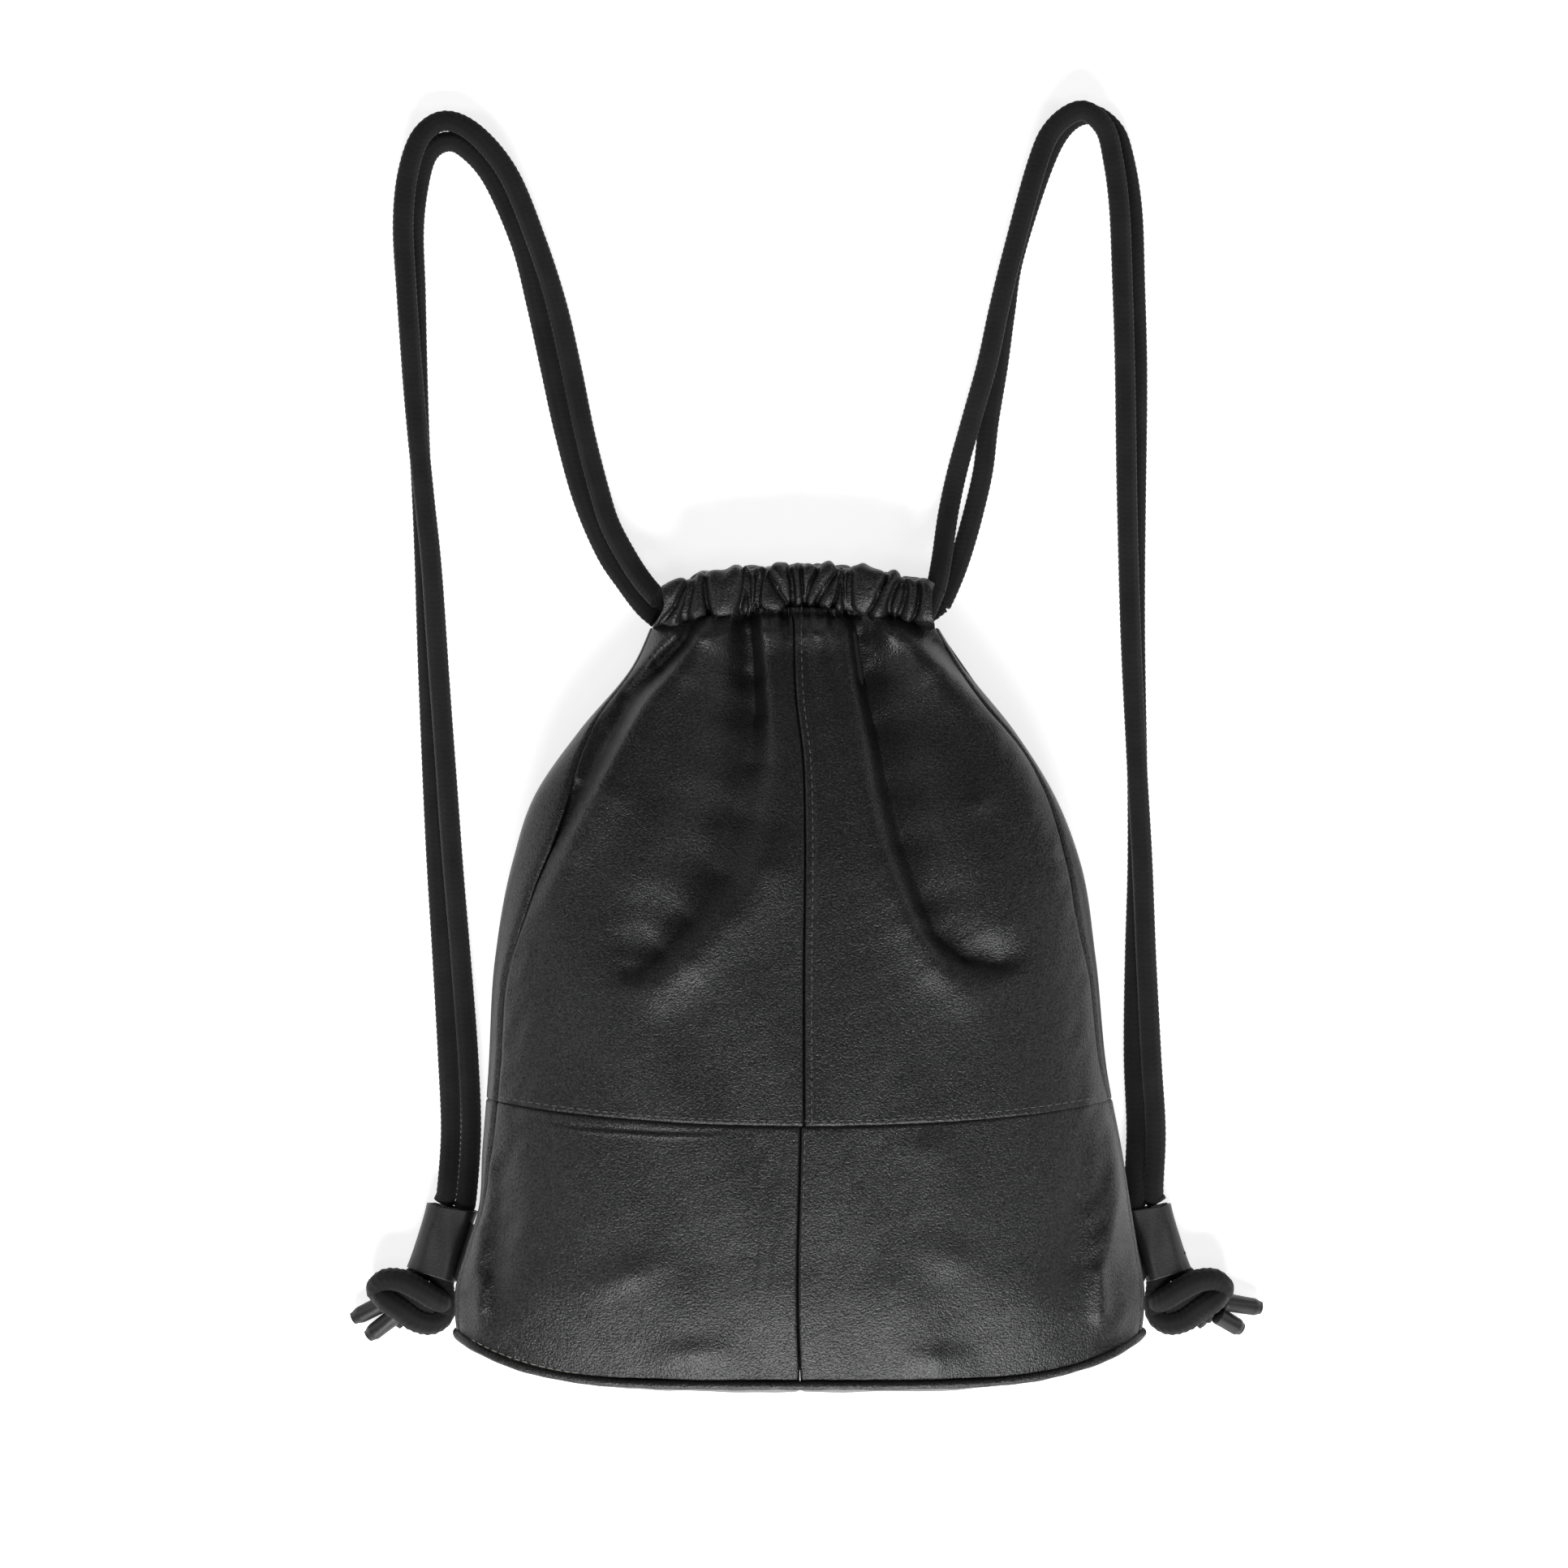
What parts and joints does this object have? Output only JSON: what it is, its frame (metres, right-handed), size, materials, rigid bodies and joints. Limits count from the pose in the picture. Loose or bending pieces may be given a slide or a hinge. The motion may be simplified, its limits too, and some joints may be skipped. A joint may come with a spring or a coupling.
{
  "type": "drawstring backpack",
  "caption": "Soft leather drawstring backpack lying on its back, with a gathered neck and doubled rope shoulder straps knotted at leather loops.",
  "frame": {"origin": "under the middle of the bag body, on the surface that its back lies on", "axes": "+Y from the base to the gathered neck, +Z out of the front, +X to the right seen from the front"},
  "size_m": [0.4846, 0.6706, 0.0968],
  "materials": {
    "body_leather": "soft satin nappa with a fine pebble grain",
    "casing_leather": "soft satin nappa, tightly gathered",
    "welt_leather": "rolled satin leather piping",
    "smooth_leather": "smooth satin leather strip",
    "braided_rope": "matte knitted cotton rope",
    "lining_cloth": "plain woven cotton",
    "stiffener_board": "pressed fibre board"
  },
  "bodies": {
    "bag": {"front_upper_left_panel": "body_leather", "front_upper_right_panel": "body_leather", "front_lower_left_panel": "body_leather", "front_lower_right_panel": "body_leather", "back_upper_left_panel": "body_leather", "back_upper_right_panel": "body_leather", "back_lower_left_panel": "body_leather", "back_lower_right_panel": "body_leather", "base_left_panel": "body_leather", "base_right_panel": "body_leather", "base_welt": "welt_leather", "base_board": "stiffener_board", "lining_front": "lining_cloth", "lining_back": "lining_cloth", "casing_front": "casing_leather", "casing_back": "casing_leather", "left_anchor_loop": "smooth_leather", "right_anchor_loop": "smooth_leather", "left_rope_casing_run": "braided_rope", "right_rope_casing_run": "braided_rope"},
    "left_strap": {"left_strap_strand_front": "braided_rope", "left_strap_strand_back": "braided_rope"},
    "right_strap": {"right_strap_strand_front": "braided_rope", "right_strap_strand_back": "braided_rope"},
    "left_rope_end": {"left_rope_tail_outer": "braided_rope", "left_rope_tail_inner": "braided_rope", "left_knot": "braided_rope", "left_rope_tip_upper": "smooth_leather", "left_rope_tip_lower": "smooth_leather"},
    "right_rope_end": {"right_rope_tail_outer": "braided_rope", "right_rope_tail_inner": "braided_rope", "right_knot": "braided_rope", "right_rope_tip_upper": "smooth_leather", "right_rope_tip_lower": "smooth_leather"}
  },
  "joints": [
    {"name": "left_strap_swing", "type": "hinge", "parent": "bag", "child": "left_strap", "pos_m": [-0.083, 0.193, 0.022], "axis": [0.3002, 0.9536, 0.0243], "range_deg": [-45, 45]},
    {"name": "left_rope_end_slide", "type": "slide", "parent": "bag", "child": "left_rope_end", "axis": [-0.3007, -0.9537, 0], "range_m": [0, 0.03]},
    {"name": "right_strap_swing", "type": "hinge", "parent": "bag", "child": "right_strap", "pos_m": [0.083, 0.193, 0.022], "axis": [-0.3002, 0.9536, 0.0243], "range_deg": [-45, 45]},
    {"name": "right_rope_end_slide", "type": "slide", "parent": "bag", "child": "right_rope_end", "axis": [0.3007, -0.9537, 0], "range_m": [0, 0.03]}
  ]
}
